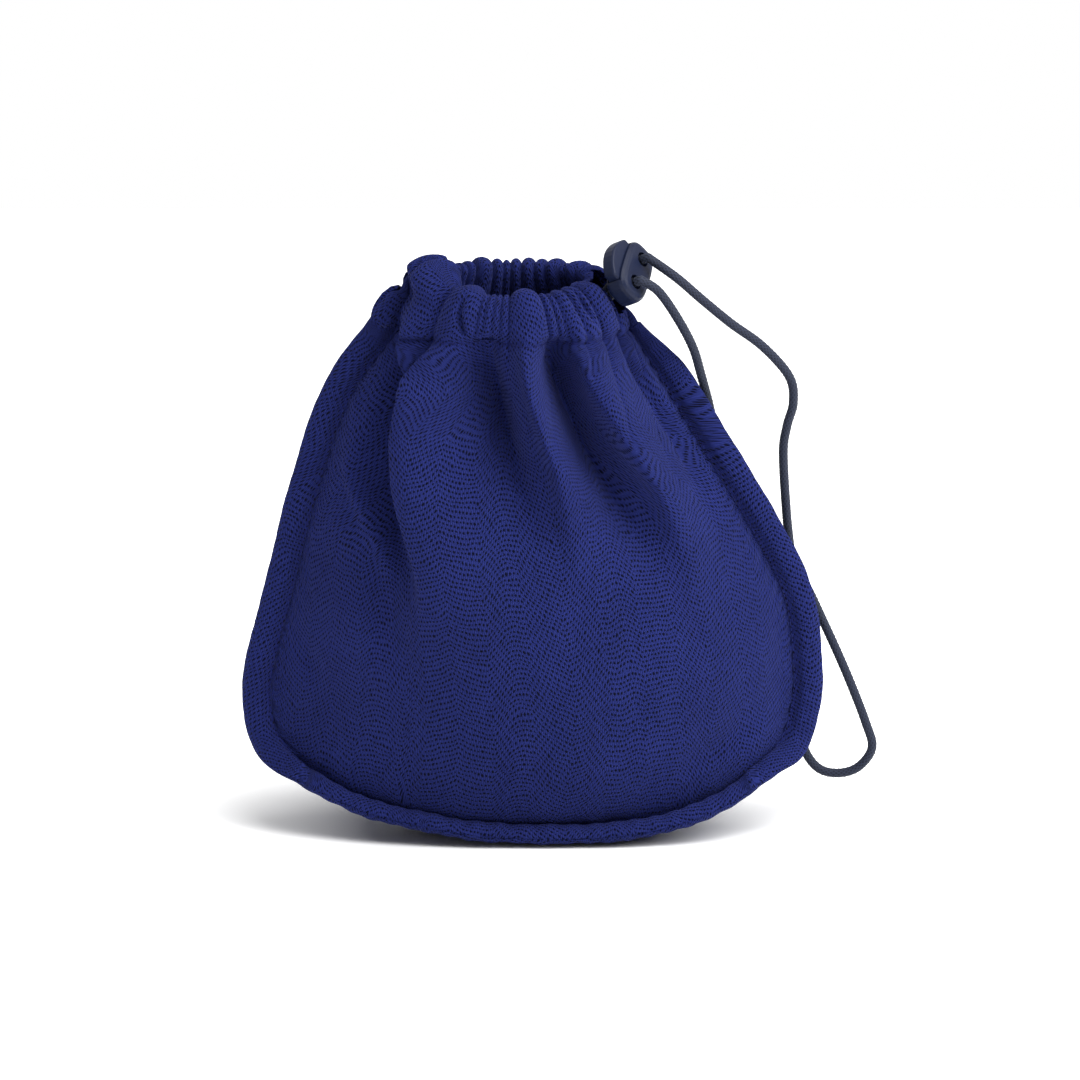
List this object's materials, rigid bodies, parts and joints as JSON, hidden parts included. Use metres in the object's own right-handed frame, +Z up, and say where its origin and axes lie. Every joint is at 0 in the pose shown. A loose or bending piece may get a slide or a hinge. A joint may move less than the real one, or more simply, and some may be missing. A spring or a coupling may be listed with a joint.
{
  "type": "kinchaku drawstring pouch",
  "caption": "Soft drawstring pouch with a gathered mouth, sewn edge flange, round cord and a sliding sprung cord lock.",
  "frame": {"origin": "middle of the base, on the surface that the pouch stands on", "axes": "+Z up through the mouth, -Y towards the front panel, +X towards the cord lock"},
  "size_m": [0.1954, 0.0705, 0.1839],
  "materials": {
    "mesh_cloth": "matt knitted mesh",
    "braided_cord": "fine braid",
    "lock_plastic": "satin moulded",
    "spring_steel": "drawn wire"
  },
  "bodies": {
    "root": {"front_panel": "mesh_cloth", "back_panel": "mesh_cloth", "drawcord": "braided_cord"},
    "cord_lock": {"lock_housing": "lock_plastic", "lock_spring": "spring_steel", "drawcord_loop": "braided_cord"},
    "plunger": {"lock_plunger": "lock_plastic"}
  },
  "joints": [
    {"name": "lock_slide", "type": "slide", "parent": "root", "child": "cord_lock", "axis": [0.761, -0.5277, 0.3775], "range_m": [0, 0.007]},
    {"name": "plunger_press", "type": "slide", "parent": "cord_lock", "child": "plunger", "axis": [0.6063, 0.3714, -0.7031], "range_m": [0, 0.0022], "stiffness_N_per_m": 300, "springref_m": -0.004, "deforming": ["lock_spring"]}
  ]
}
